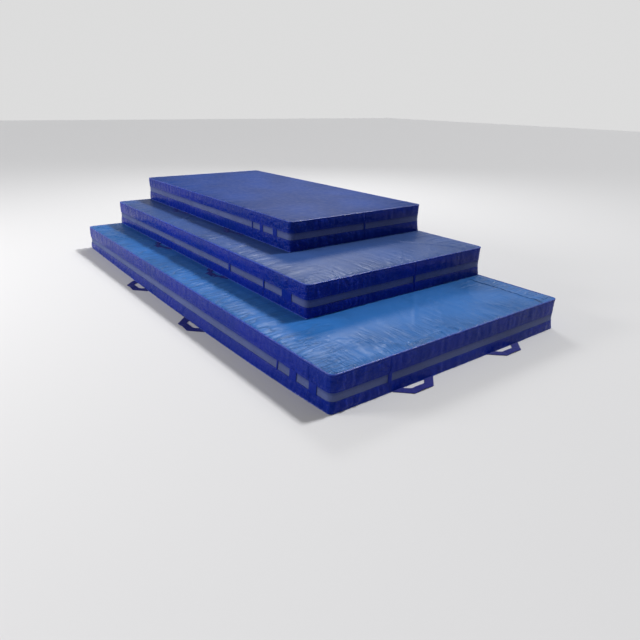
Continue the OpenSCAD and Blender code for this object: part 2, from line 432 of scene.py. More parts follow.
def shell(outer, inner, wrap):
    """Vertices and faces of a closed skin between two grids of points with the same shape."""
    rows, columns = outer.shape[:2]
    count = rows * columns
    verts = np.concatenate([outer.reshape(-1, 3), inner.reshape(-1, 3)])
    faces = [grid_faces(rows, columns, wrap), grid_faces(rows, columns, wrap, count, True)]
    steps = np.arange(rows if wrap else rows - 1)
    nexts = (steps + 1) % rows
    low = np.stack([steps * columns, steps * columns + count, nexts * columns + count, nexts * columns], -1)
    last = columns - 1
    high = (low + last)[:, ::-1]
    faces += [low, high]
    if not wrap:
        steps = np.arange(columns - 1)
        start = np.stack([steps, steps + 1, steps + 1 + count, steps + count], -1)
        end = (start + (rows - 1) * columns)[:, ::-1]
        faces += [start, end]
    return verts, np.concatenate(faces)


def perlin(points, size, shift=0.0):
    """Smooth noise, about -0.7 to 0.7, with lumps of the given size in metres along X, Y and Z."""
    scaled = points / np.array(size) + shift
    return np.array([noise.noise(Vector(p)) for p in scaled.reshape(-1, 3)]).reshape(points.shape[:-1])


def crease(points, size, width, shift):
    """1 along thin lines, which wander where the noise crosses zero, and 0 away from them."""
    return bell(perlin(points, size, shift), width)


def bell(distance, width):
    """1 at no distance, falling smoothly to 0 over about two widths."""
    return np.exp(-((distance / width) ** 2))


def smoothstep(value):
    t = np.clip(value, 0, 1)
    return t * t * (3 - 2 * t)


# ---------------------------------------------------------------- the mats' form


class Mat:
    """Sizes and places of one mat, from its CAD nodes."""

    def __init__(self, name, above, handles):
        self.name, self.body, self.above, self.handles = name, name + "_mat", above, handles
        low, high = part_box(name + "_lower_wall")
        self.x0, self.y0, self.x1, self.y1 = low.x, low.y, high.x, high.y
        self.length, self.width = self.x1 - self.x0, self.y1 - self.y0
        self.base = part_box(name + "_base_panel")[0].z
        self.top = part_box(name + "_top_panel")[1].z
        self.band_low, self.band_high = (corner.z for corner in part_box(name + "_vent_band"))
        self.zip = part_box(name + "_zip_tape")
        self.half_round = self.length + self.width
        self.centre = ((self.x0 + self.x1) / 2, (self.y0 + self.y1) / 2)
        self.cloth = None

    def span(self, side):
        return self.width if side % 2 else self.length

    def start(self, side):
        """Travel at which a side begins."""
        return (side % 2) * self.length + (side // 2) * self.half_round

    def travel(self, side, place):
        """Travel of a place on one side, from its X or Y."""
        low, high = (self.y0, self.y1) if side % 2 else (self.x0, self.x1)
        return self.start(side) + (high - place if side in (BACK, LEFT) else place - low)


def side_steps(mat, side):
    """Distances along one side of a mat, closer together where an upright seam crosses the wall."""
    length, done = mat.span(side), mat.start(side)
    run = length - 2 * CORNER_R
    even = CORNER_R + run * np.arange(round(run / RIM_STEP)) / round(run / RIM_STEP)
    near = [seam - done + step for seam in seam_travels(mat) for step in SEAM_STEPS
            if CORNER_R < seam - done + step < length - CORNER_R]
    clear = [e for e in even if all(abs(e - n) > 2 * MM for n in near)]
    return np.array(sorted(clear + near)), done, length


def corner_arc(squareness):
    """Quarter turn from (1, 0) to (0, 1): a circle at squareness 2, nearer a square corner above that."""
    angle = math.pi / 2 * np.arange(ARC_STEPS) / ARC_STEPS
    cos, sin = np.maximum(np.cos(angle), 1e-9), np.maximum(np.sin(angle), 1e-9)
    places = np.stack([cos ** (2 / squareness), sin ** (2 / squareness)], -1)
    outs = np.stack([cos ** (2 - 2 / squareness), sin ** (2 - 2 / squareness)], -1)
    return places, outs / np.linalg.norm(outs, axis=1, keepdims=True)


def rim(mat, squareness):
    """Points round a mat's outline: places (n, 2), outward directions (n, 2) and travel (n)."""
    places, outs, travel = [], [], []
    start = np.array([mat.x0, mat.y0])
    for side in range(4):
        steps, done, length = side_steps(mat, side)
        turn = side * math.pi / 2
        along = np.array([math.cos(turn), math.sin(turn)])
        out = np.array([math.sin(turn), -math.cos(turn)])
        places.append(start + steps[:, None] * along)
        outs.append(np.repeat(out[None], len(steps), 0))
        travel.append(done + steps)
        centre = start + along * (length - CORNER_R) - out * CORNER_R
        arc, normal = corner_arc(squareness)
        places.append(centre + CORNER_R * (arc[:, :1] * out + arc[:, 1:] * along))
        outs.append(normal[:, :1] * out + normal[:, 1:] * along)
        travel.append(done + length - CORNER_R + 2 * CORNER_R * np.arange(ARC_STEPS) / ARC_STEPS)
        start = start + along * length
    return np.concatenate(places), np.concatenate(outs), np.concatenate(travel)


FOOT_SQUARENESS = 7.0
SEAM_SQUARENESS = 3.6
BAND_SQUARENESS = 2.6


def squareness_at(mat, height):
    """Corners are pulled square at the top and bottom seams, and lie round over the foam between them."""
    share = np.clip((height - mat.base) / (mat.top - mat.base), 0, 1)
    seam = SEAM_SQUARENESS if share > 0.5 else FOOT_SQUARENESS
    return BAND_SQUARENESS + (seam - BAND_SQUARENESS) * np.abs(2 * share - 1) ** 4


def wall_skin(flat, outs, out, thick):
    """A wall's outer face, and the vertices and faces of the closed skin behind it."""
    outer = flat.copy()
    outer[..., :2] += outs * out[..., None]
    inner = outer.copy()
    inner[..., :2] -= outs * thick
    return outer, *shell(outer, inner, True)


def wall_grid(mat, low, high, rows):
    """Nominal points of a wall strip (n, rows, 3), their outward directions and their travel."""
    grid, normals = [], []
    for height in np.linspace(low, high, rows):
        places, outs, travel = rim(mat, squareness_at(mat, height))
        grid.append(np.concatenate([places, np.full((len(places), 1), height)], -1))
        normals.append(outs)
    return np.stack(grid, 1), np.stack(normals, 1), np.repeat(travel[:, None], rows, 1)


# The bottom mat's cover spreads at its foot, along a bow in each side that is free to move.
# Each entry is how far the bow stands out, a power that sets its highest place, and one for its fullness.
END_BOW = (10 * MM, 1.0, 0.5)
FOOT_SPREAD = {"bottom": {FRONT: (38 * MM, 1.5, 0.6), RIGHT: END_BOW, LEFT: END_BOW}}


def foot_bow(mat, travel, height):
    """How far the foot's bows stand out at a height: most at the foot, and hardly at all above the band."""
    out = np.zeros(np.broadcast(travel, height).shape)
    for side, (depth, place, fullness) in FOOT_SPREAD.get(mat.name, {}).items():
        share = np.clip((travel - mat.start(side)) / mat.span(side), 0, 1)
        out = out + depth * np.maximum(np.sin(np.pi * share ** place), 0) ** fullness
    return out * (1 - np.clip((height - mat.base) / (mat.top - mat.base), 0, 1)) ** 3.2


def wobble(points):
    """How far a seam strays outward, which the piping, the panel's rim and the walls' edges share."""
    slow = perlin(points, (0.11, 0.11, 0.3), 7.3)
    quick = perlin(points, (0.03, 0.03, 0.3), 2.1)
    return 1.5 * MM * slow + 1.2 * MM * quick


def on_back(mat, travel):
    """1 on the flush back of the mat, where webbing hangs close to the wall, and 0 on its other sides."""
    start, end = mat.half_round, mat.half_round + mat.length
    ease = 2 * CORNER_R
    return smoothstep((travel - start + ease) / ease) * smoothstep((end + ease - travel) / ease)


def by_handle(mat, travel):
    """1 behind each handle, where its strap folds up against the wall, and 0 a hand's width away."""
    here = np.zeros(travel.shape)
    ease = 0.07
    for node in mat.handles:
        low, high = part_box(node)
        middle = (low + high) / 2
        outs = [mat.y0 - middle.y, middle.x - mat.x1, middle.y - mat.y1, mat.x0 - middle.x]
        side = outs.index(max(outs))
        place = mat.travel(side, middle.y if side % 2 else middle.x)
        here = np.maximum(here, smoothstep((HANDLE_BASE / 2 + ease - np.abs(travel - place)) / ease))
    return here


def near_travel(mat, travel, place, reach):
    """1 at a place round the outline, falling to 0 a reach away."""
    total = 2 * mat.half_round
    apart = np.abs((travel - place + total / 2) % total - total / 2)
    return smoothstep(1 - apart / reach)


# Upright wall seams, as distances from the front right corner: along the front, then up the right end.
# The other two sides repeat them.
WALL_SEAMS = {
    "bottom": ((0.105, 0.165), (0.368,)),
    "middle": ((0.450,), (0.850,)),
    "top": ((0.476,), (0.646,)),
}


def seam_travels(mat):
    front, right = WALL_SEAMS[mat.name]
    half = [mat.length - d for d in front] + [mat.length + d for d in right]
    return half + [t + mat.half_round for t in half]


def wall_out(mat, points, travel, height, low, high):
    """How far a wall's face stands out from the nominal outline.

    The vinyl swells between its two seams, and is gathered along both of them. It is crumpled most by the
    front right corner, where the cover was pulled over the foam last."""
    share = (height - low) / (high - low)
    between = np.sin(np.pi * np.clip(share, 0, 1))
    crumple = 0.5 + 1.4 * near_travel(mat, travel, mat.length, 0.8)
    gather = perlin(points, (0.035, 0.035, 0.22), 3.7) + 0.6 * perlin(points, (0.016, 0.016, 0.12), 9.2)
    folds = crease(points, (0.07, 0.07, 0.10), 0.10, 5.5)
    folds += 0.7 * crease(points, (0.12, 0.12, 0.05), 0.09, 1.5)
    pull = np.exp(-(high - height) / 0.035) + np.exp(-(height - low) / 0.03)
    out = 4.2 * MM * between ** 0.7 * (1 + 0.5 * perlin(points, (0.35, 0.35, 0.4), 4.4))
    out += crumple * between ** 0.5 * (2.6 * MM * gather - 2.4 * MM * folds)
    out += crumple * pull * np.clip(between, 0.15, 1) * 2.2 * MM * gather
    for seam in seam_travels(mat):
        apart = travel - seam
        out -= 3.5 * MM * bell(apart, 3.5 * MM) * between ** 0.3
        out += 1.6 * MM * smoothstep(1 - np.abs(apart - 10 * MM) / (11 * MM)) * between ** 0.3
    out = np.maximum(out, -1.2 * MM) + wobble(points)
    return out * (1 - 0.85 * on_back(mat, travel))


def zip_flat(mat, points):
    """0 over the zip in the back wall, where the wall lies flat, and 1 away from it."""
    low, high = mat.zip
    x, y, z = points[..., 0], points[..., 1], points[..., 2]
    inside = (y > mat.y1 - CORNER_R).astype(float)
    for place, start, end, ease in ((x, low.x, high.x, 12 * MM), (z, low.z, high.z, 4 * MM)):
        inside *= smoothstep((place - start + ease) / ease) * smoothstep((end + ease - place) / ease)
    return 1 - inside


# How crumpled each mat's walls are by the front right corner
CRUMPLE = {"bottom": 0.35, "middle": 0.8, "top": 0.9}


def wall(mat, part, low, high, rows, hem_low, hem_high):
    """A closed strip of cover all round the mat. Each hem turns in to its seam over the last few
    millimetres, from the distance that it stands out."""
    flat, outs, along = wall_grid(mat, low, high, rows)
    height = flat[..., 2]
    out = wall_out(mat, flat, along, height, low, high)
    if part == "lower_wall":
        out = out * (1 - 0.7 * by_handle(mat, along))
    ease_low = np.exp(-(height - low) / (9 * MM))
    ease_high = np.exp(-(high - height) / (9 * MM))
    quiet = 1 - 0.8 * on_back(mat, along)
    out = (out + (hem_low * ease_low + hem_high * ease_high) * quiet) * zip_flat(mat, flat)
    out = out + foot_bow(mat, along, height)
    outer, verts, faces = wall_skin(flat, outs, out, SKIN)
    made = piece(f"{mat.name}_{part}_cover", verts, faces, mat.body, "wall_vinyl")
    corner = CRUMPLE[mat.name] * near_travel(mat, along, mat.length, 0.9)
    add_marks(made, crumple=np.clip(0.04 + corner, 0, 1) * (1 - 0.7 * on_back(mat, along)))
    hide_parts(f"{mat.name}_{part}")
    return outer


def vent_band(mat):
    """The mesh strip, which lies a little behind the walls and sags between its seams."""
    flat, outs, along = wall_grid(mat, mat.band_low - 3 * MM, mat.band_high + 3 * MM, 7)
    out = -1.5 * MM + 0.6 * MM * perlin(flat, (0.08, 0.08, 0.06), 6.1) + foot_bow(mat, along, flat[..., 2])
    _, verts, faces = wall_skin(flat, outs, out, 0.8 * MM)
    made = piece(f"{mat.name}_vent_mesh", verts, faces, mat.body, "vent_mesh")
    add_marks(made, band_share=(flat[..., 2] - mat.band_low) / (mat.band_high - mat.band_low))
    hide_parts(f"{mat.name}_vent_band")


def exposure(mat, points):
    """0 where the next mat rests on this one, rising to 1 a hand's width outside it."""
    if mat.above is None:
        return np.ones(points.shape[:-1])
    low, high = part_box(mat.above + "_lower_wall")
    beyond = np.maximum(points[..., 0] - high.x, 0)
    before = np.maximum(low.y - points[..., 1], 0)
    return smoothstep(np.hypot(beyond, before) / 0.07)


def edge_distances(mat, points):
    """Distance in from the front, right, back and left edges."""
    x, y = points[..., 0], points[..., 1]
    return [y - mat.y0, mat.x1 - x, mat.y1 - y, x - mat.x0]


# How strongly each mat's top is gathered along its edges, and how far in the gathers reach, in metres
GATHERS = {"bottom": (1.0, 0.26), "middle": (0.6, 0.20), "top": (0.4, 0.15)}
# The bottom panel is joined from two widths of cloth, with the seam this far from its back edge
PANEL_SEAM = {"bottom": 0.158}


def gathers(points, distance, reach, lengthwise, shift):
    """Wrinkles that run in from one edge: rounded ridges with narrow valleys, fading at an uneven reach."""
    size = (0.055, 0.7, 1) if lengthwise else (0.7, 0.055, 1)
    finer = (0.030, 0.25, 1) if lengthwise else (0.25, 0.030, 1)
    uneven = 1 + 0.7 * perlin(points, (0.16, 0.16, 1), shift + 11.0)
    far = bell(distance, reach * uneven)
    ridges = np.abs(perlin(points, size, shift)) ** 0.6
    fine = perlin(points, finer, shift + 5.0) * np.exp(-distance / 0.06)
    return 10.0 * MM * far * (ridges - 0.45) + 4.5 * MM * fine


CLOTH_STEP = 20 * MM
CLOTH_FRAMES = 30
SEWN_FRAME = 12
# How much larger each panel is cut than the rim it is sewn to
CLOTH_SLACK = {"bottom": 0.0036, "middle": 0.0022, "top": 0.0010}
# The cloth's springs: stiffness and damping
CLOTH_SPRINGS = (("tension", 60, 10), ("compression", 60, 10), ("shear", 20, 10), ("bending", 4, 1))


def panel_cloth(mat):
    """A panel for the cloth simulation, and the shape of its grid. It starts as cut: too large, and ruffled
    along its edges. A shape key draws its pinned border in to the seam."""
    counts = [round(length / CLOTH_STEP) + 1 for length in (mat.length, mat.width)]
    xs, ys = np.linspace(mat.x0, mat.x1, counts[0]), np.linspace(mat.y0, mat.y1, counts[1])
    x, y = np.meshgrid(xs, ys, indexing="ij")
    sewn = np.stack([x, y, np.zeros_like(x)], -1)
    distances = edge_distances(mat, sewn)
    cut = sewn.copy()
    cut[..., :2] += (sewn[..., :2] - mat.centre) * CLOTH_SLACK[mat.name]
    cut[..., 2] = 6 * MM + 3 * MM * perlin(sewn, (0.2, 0.2, 1), 7.7)
    for side, distance in enumerate(distances):
        size = (0.07, 0.5, 1) if side % 2 == 0 else (0.5, 0.06, 1)
        cut[..., 2] += 8 * MM * bell(distance, 0.10) * perlin(sewn, size, 1.3 + side)
    made = add_mesh("panel_cloth", cut.reshape(-1, 3), grid_faces(*counts))
    made.shape_key_add(name="cut")
    key = made.shape_key_add(name="sewn")
    key.data.foreach_set("co", sewn.ravel())
    for value, when in ((0, 1), (1, SEWN_FRAME)):
        key.value = value
        key.keyframe_insert("value", frame=when)
    border = np.flatnonzero(np.minimum.reduce(distances).ravel() < 1 * MM)
    made.vertex_groups.new(name="seam").add([int(index) for index in border], 1.0, "REPLACE")
    cloth = made.modifiers.new("cloth", "CLOTH")
    cloth.settings.vertex_group_mass = "seam"
    cloth.settings.quality = 5
    cloth.settings.mass = 0.25
    cloth.settings.air_damping = 2
    for kind, stiffness, damping in CLOTH_SPRINGS:
        setattr(cloth.settings, kind + "_stiffness", stiffness)
        setattr(cloth.settings, kind + "_damping", damping)
    cloth.collision_settings.distance_min = 2 * MM
    cloth.point_cache.frame_start, cloth.point_cache.frame_end = 1, CLOTH_FRAMES
    return made, counts


def simulate_cloth(mats):
    """Lets each mat's panel settle on a flat bed of foam, and keeps its rise with the mat."""
    corners = [(-3, -2, -4 * MM), (3, -2, -4 * MM), (3, 2, -4 * MM), (-3, 2, -4 * MM)]
    bed = add_mesh("foam_bed", corners, [(0, 1, 2, 3)])
    bed.modifiers.new("collision", "COLLISION")
    bed.collision.thickness_outer = 2 * MM
    panels = [panel_cloth(mat) for mat in mats]
    for frame_number in range(1, CLOTH_FRAMES + 1):
        bpy.context.scene.frame_set(frame_number)
    graph = bpy.context.evaluated_depsgraph_get()
    for mat, (panel, counts) in zip(mats, panels):
        settled = np.empty(counts[0] * counts[1] * 3)
        panel.evaluated_get(graph).data.vertices.foreach_get("co", settled)
        mat.cloth = settled.reshape(counts[0], counts[1], 3)[..., 2]
    for made in [bed] + [panel for panel, _ in panels]:
        bpy.data.meshes.remove(made.data)
    bpy.context.scene.frame_set(1)


def cloth_rise(mat, points):
    """Rise of the simulated panel at these points."""
    if mat.cloth is None:
        return np.zeros(points.shape[:-1])
    columns, rows = mat.cloth.shape
    u = np.clip((points[..., 0] - mat.x0) / mat.length, 0, 1) * (columns - 1)
    v = np.clip((points[..., 1] - mat.y0) / mat.width, 0, 1) * (rows - 1)
    i, j = np.minimum(u.astype(int), columns - 2), np.minimum(v.astype(int), rows - 2)
    u, v = smoothstep(u - i), smoothstep(v - j)
    near = mat.cloth[i, j] * (1 - v) + mat.cloth[i, j + 1] * v
    far = mat.cloth[i + 1, j] * (1 - v) + mat.cloth[i + 1, j + 1] * v
    return near * (1 - u) + far * u


def panel_rise(mat, points):
    """Height of a mat's top panel above its nominal level: a low crown with the simulated cloth's relief,
    pulled into gathers along the edges."""
    strength, reach = GATHERS[mat.name]
    distances = edge_distances(mat, points)
    nearest = np.minimum.reduce(distances)
    crown = 6.5 * MM * (1 - np.exp(-np.maximum(nearest, 0) / 0.07))
    taut = 0.4 + 0.6 * bell(nearest, 0.30)
    rise = crown + 2.0 * MM * perlin(points, (0.5, 0.5, 1), 3.1) + taut * cloth_rise(mat, points)
    rise -= 0.8 * MM * crease(points, (0.5, 0.3, 1), 0.05, 8.8)
    for side, distance in enumerate(distances):
        rise += strength * gathers(points, distance, reach, side % 2 == 0, 2.7 + side)
    if mat.name in PANEL_SEAM:
        apart = (mat.y1 - points[..., 1]) - PANEL_SEAM[mat.name]
        rise += 2.0 * MM * bell(apart + 8 * MM, 7 * MM) - 2.6 * MM * bell(apart, 3 * MM)
    rise = np.maximum(rise * exposure(mat, points), -0.2 * MM)
    inset = nearest - 2 * MM
    roll = 4.5 * MM * np.exp(-np.maximum(inset, 0) / (3.5 * MM))
    return rise * smoothstep(inset / (22 * MM)) - roll


def spaced(low, high, fine, coarse, border):
    """Positions from low to high, fine within a border of each end and coarse between."""
    edge = np.arange(0, border, fine)
    middle = np.linspace(border, high - low - border, max(2, round((high - low - 2 * border) / coarse)))
    return low + np.concatenate([edge, middle, (high - low) - edge[::-1]])


def rounded(mat, x, y, inset, squareness):
    """Moves the points of a rectangular grid that lie in its corners onto a rounded outline."""
    radius = CORNER_R - inset
    from_x, from_y = x - mat.centre[0], y - mat.centre[1]
    u = np.clip((np.abs(from_x) - (mat.length / 2 - CORNER_R)) / radius, 0, 1)
    v = np.clip((np.abs(from_y) - (mat.width / 2 - CORNER_R)) / radius, 0, 1)
    corner = (u > 0) & (v > 0)
    widest = np.maximum(np.maximum(u, v), 1e-9)
    shrink = np.maximum(((u / widest) ** squareness + (v / widest) ** squareness) ** (1 / squareness), 1)
    x = np.where(corner, x + np.sign(from_x) * radius * u * (1 / shrink - 1), x)
    y = np.where(corner, y + np.sign(from_y) * radius * v * (1 / shrink - 1), y)
    return x, y


def panel_grid(mat, squareness, inset, fine, coarse, border, extra=()):
    xs = spaced(mat.x0 + inset, mat.x1 - inset, fine, coarse, border)
    ys = spaced(mat.y0 + inset, mat.y1 - inset, fine, coarse, border)
    ys = np.array(sorted([y for y in ys if all(abs(y - e) > 3 * MM for e in extra)] + list(extra)))
    x, y = np.meshgrid(xs, ys, indexing="ij")
    x, y = rounded(mat, x, y, inset, squareness)
    return np.stack([x, y, np.zeros_like(x)], -1)


def border_of(rows, columns):
    """Indices round the border of a grid stored row by row, with increasing row first."""
    grid = np.arange(rows * columns).reshape(rows, columns)
    return np.concatenate([grid[:-1, 0], grid[-1, :-1], grid[:0:-1, -1], grid[0, :0:-1]])


# Rows of points across the panel's seam, from its middle
PANEL_SEAM_STEPS = [k * MM for k in (-8, -5, -3, -1.5, 0, 1.5, 3, 5, 8, 12)]


def top_panel(mat):
    """A fine upper face, a short rim and one flat face underneath, where it lies on the foam."""
    extra = ()
    if mat.name in PANEL_SEAM:
        extra = tuple(mat.y1 - PANEL_SEAM[mat.name] + step for step in PANEL_SEAM_STEPS)
    outer = panel_grid(mat, SEAM_SQUARENESS, 2 * MM, 5 * MM, 10.5 * MM, 50 * MM, extra)
    outer[..., 2] = mat.top + panel_rise(mat, outer)
    verts = outer.reshape(-1, 3)
    border = border_of(*outer.shape[:2])
    rim_verts = verts[border].copy()
    rim_verts[:, 2] = mat.top - EDGE - 1 * MM
    under = np.arange(len(border)) + len(verts)
    sides = np.stack([np.roll(border, -1), border, under, np.roll(under, -1)], -1)
    faces = [*grid_faces(*outer.shape[:2]), *sides, under[::-1]]
    verts = np.concatenate([verts, rim_verts])
    made = piece(f"{mat.name}_top_cover", verts, faces, mat.body, f"{mat.name}_top_vinyl")
    front, right, back, left = edge_distances(mat, outer)
    strength, reach = GATHERS[mat.name]
    uneven = reach * (0.75 + 0.9 * perlin(outer * (1, 1, 0), (0.14, 0.14, 1), 17.0))
    # The seam mark paints shade along the fold of the panel's seam
    seam = np.zeros_like(front)
    if mat.name in PANEL_SEAM:
        seam = 0.55 * bell(back - PANEL_SEAM[mat.name], 4.5 * MM)
    corner = smoothstep(1 - np.hypot(front, right) / 0.45) * np.exp(-np.minimum(front, right) / 0.05)
    # side_gather and end_gather call up gathers drawn as bump with painted shade in their valleys; crumple
    # calls up bump only
    add_marks(made, seam=seam, crumple=0.5 * CRUMPLE[mat.name] * corner,
              side_gather=strength * bell(np.minimum(front, back), uneven),
              end_gather=strength * bell(np.minimum(right, left), uneven))
    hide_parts(f"{mat.name}_top_panel")


def base_shift(mat, points):
    """How the base panel stretches in plan, so that its rim follows the bows at the foot of the walls."""
    x, y = points[..., 0], points[..., 1]
    bows = [foot_bow(mat, mat.travel(side, place), mat.base) * smoothstep(1 - distance / 0.12)
            for side, (place, distance) in enumerate(zip((x, y, x, y), edge_distances(mat, points)))]
    return np.stack([bows[RIGHT] - bows[LEFT], bows[BACK] - bows[FRONT]], -1)


def base_panel(mat):
    """The underside: flat where it rests, turned up a little at its rim to meet the bottom piping."""
    flat = panel_grid(mat, FOOT_SQUARENESS, 2 * MM, 8 * MM, 60 * MM, 40 * MM)
    nearest = np.minimum.reduce(edge_distances(mat, flat)) - 2 * MM
    flat[..., :2] += base_shift(mat, flat)
    outer = flat.copy()
    outer[..., 2] = mat.base + 3.0 * MM * np.exp(-np.maximum(nearest, 0) / (3 * MM))
    inner = outer.copy()
    inner[..., 2] += SKIN
    verts, faces = shell(inner, outer, False)
    made = piece(f"{mat.name}_base_cover", verts, faces, mat.body, "base_vinyl")
    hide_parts(f"{mat.name}_base_panel")


def tube(points, radius, sides, normals):
    """A closed ring of tube round a loop of points; normals point outward from the loop, in its plane."""
    angles = (np.arange(sides) * 2 * math.pi / sides)[None, :, None]
    up = np.array([0, 0, 1.0])
    verts = points[:, None] + radius * (np.cos(angles) * normals[:, None] + np.sin(angles) * up)
    i, j = np.meshgrid(np.arange(len(points)), np.arange(sides), indexing="ij")
    here, ahead = i * sides, (i + 1) % len(points) * sides
    turned = (j + 1) % sides
    faces = np.stack([here + j, ahead + j, ahead + turned, here + turned], -1)
    return verts.reshape(-1, 3), faces.reshape(-1, 4)


def piping(mat, part, height, radius, squareness):
    places, outs, travel = rim(mat, squareness)
    line = np.concatenate([places, np.full((len(places), 1), height)], -1)
    quiet = 1 - 0.85 * on_back(mat, travel)
    shift = wobble(line) * quiet - EDGE / 2 + foot_bow(mat, travel, height)
    line[:, :2] += outs * shift[:, None]
    normals = np.concatenate([outs, np.zeros((len(outs), 1))], -1)
    verts, faces = tube(line, radius, 10, normals)
    made = piece(f"{mat.name}_{part}_bead", verts, faces, mat.body, "piping", sharp=80)
    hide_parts(f"{mat.name}_{part}")


# ---------------------------------------------------------------- ties, handles, zips and stitches


def solids(node):
    """Lowest and highest corners of each separate solid in a CAD node."""
    shape = bmesh.new()
    shape.from_mesh(frame["nodes"][node].data)
    bmesh.ops.remove_doubles(shape, verts=shape.verts, dist=0.01 * MM)
    left, found = set(shape.verts), []
    while left:
        group, edge = set(), {left.pop()}
        while edge:
            group |= edge
            edge = {e.other_vert(v) for v in edge for e in v.link_edges} - group
        left -= group
        places = np.array([v.co for v in group])
        found.append((places.min(0), places.max(0)))
    shape.free()
    return sorted(found, key=lambda box: tuple(box[0].round(4)))


def ties(mat):
    """Strips of cover vinyl that cross the mesh from wall to wall."""
    verts, faces, count = [], [], 0
    rows, columns = 7, 9
    reach = 6 * MM
    for low, high in solids(mat.name + "_band_ties"):
        at_end = high[0] - low[0] < high[1] - low[1]
        axis, cross = (1, 0) if at_end else (0, 1)
        sign = 1 if low[cross] > mat.centre[cross] else -1
        face = high[cross] if sign > 0 else low[cross]
        side = (RIGHT if sign > 0 else LEFT) if at_end else (BACK if sign > 0 else FRONT)
        calm = 0.3 if side == BACK else 1.0
        us = np.linspace(low[axis], high[axis], rows)
        zs = np.linspace(mat.band_low - reach, mat.band_high + reach, columns)
        u, z = np.meshgrid(us, zs, indexing="ij")
        grid = np.zeros((rows, columns, 3))
        grid[..., axis], grid[..., 2] = u, z
        across = np.abs((u - low[axis]) / (high[axis] - low[axis]) - 0.5) * 2
        lift = (3.4 - 1.5 * across ** 6) * MM + 0.9 * MM * perlin(grid, (0.02, 0.02, 0.02), 4.0)
        bow = foot_bow(mat, mat.travel(side, u), z)
        grid[..., cross] = face + sign * (calm * lift + bow)
        back = grid.copy()
        back[..., cross] -= sign * calm * 1.4 * MM
        v, f = shell(grid, back, False) if side in (FRONT, RIGHT) else shell(back, grid, False)
        verts.append(v)
        faces.append(f + count)
        count += len(v)
    made = piece(f"{mat.name}_ties", np.concatenate(verts), np.concatenate(faces), mat.body, "wall_vinyl")
    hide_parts(f"{mat.name}_band_ties")


def hinge(node):
    """Turning line of a handle: a point, its direction, the way the handle reaches and its upper face."""
    joint = next(j for j in frame["joints"] if j["child"] == node)
    place, axis = Vector(joint["pos_m"]), Vector(joint["axis"])
    low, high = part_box(node)
    reach = (low + high) / 2 - place
    reach -= axis * reach.dot(axis)
    reach.normalize()
    return place, axis, reach, axis.cross(reach)


WEB_WIDTH = 47 * MM
HANDLE_BASE = 290 * MM
HANDLE_TIP = 135 * MM
HANDLE_REACH = 75 * MM
HANDLE_LEAN = (HANDLE_BASE - HANDLE_TIP) / 2 / HANDLE_REACH
LEG_WIDTH = WEB_WIDTH * math.hypot(1, HANDLE_LEAN)
WEB_THICK = 2.4 * MM


def strap_outline(steps):
    """Outer and inner edges of a strap loop lying flat, as (along, reach) pairs with matching steps.

    Each leg leans in from its stitching to a mitred corner, and a bar joins the two corners."""
    inner_reach = HANDLE_REACH - WEB_WIDTH
    inner_base = HANDLE_BASE / 2 - LEG_WIDTH
    inner_tip = inner_base - HANDLE_LEAN * inner_reach
    edges = ((HANDLE_BASE / 2, HANDLE_TIP / 2, HANDLE_REACH), (inner_base, inner_tip, inner_reach))
    lines = []
    for base, tip, reach in edges:
        corners = np.array([(-base, 0), (-tip, reach), (tip, reach), (base, 0)])
        runs = [corners[k] + (corners[k + 1] - corners[k]) * np.linspace(0, 1, n, endpoint=False)[:, None]
                for k, n in enumerate(steps)]
        lines.append(np.concatenate(runs + [corners[-1:]]))
    return lines


def handle(node, seed):
    """A flat loop of webbing with thick woven edges and folded corners, humped a little where it is held."""
    place, axis, reach, up = hinge(node)
    steps = (8, 26, 8)
    outer_line, inner_line = strap_outline(steps)
    share = np.linspace(0, 1, 9)
    flat = outer_line[:, None] + (inner_line - outer_line)[:, None] * share[None, :, None]
    along, out = flat[..., 0], flat[..., 1]
    rng = np.random.default_rng(seed)
    hump = rng.uniform(5, 7) * MM * np.cos(np.clip(along / (HANDLE_TIP / 2), -1, 1) * math.pi / 2) ** 2
    tilt = rng.uniform(-1.5, 2.5) * MM * (along / HANDLE_BASE) * smoothstep(out / HANDLE_REACH)
    fold = np.zeros_like(along)
    for corner in (steps[0], steps[0] + steps[1]):
        index = np.arange(len(flat))[:, None]
        fold += 1.7 * MM * bell(index - corner, 1.3)
    selvedge = 0.5 * MM * (np.abs(share - 0.5) * 2) ** 8
    ripple = 0.5 * MM * perlin(np.stack([along, out, np.full_like(out, seed)], -1), (0.03, 0.03, 1))
    rise = (hump + tilt) * smoothstep(out / HANDLE_REACH) + ripple
    rise += fold * smoothstep(2 * out / HANDLE_REACH)
    top = WEB_THICK / 2 + selvedge + np.maximum(rise, 0)
    under = np.maximum(rise - 0.3 * MM, 0) - WEB_THICK / 2
    basis = np.array([axis, reach, up])
    grids = [np.stack([along, out, level], -1) @ basis + np.array(place) for level in (top, under)]
    verts, faces = shell(*grids, False)
    made = piece(node + "_strap", verts, faces, node, "webbing")
    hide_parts(node)


ROOT_RADIUS = 1.7 * MM


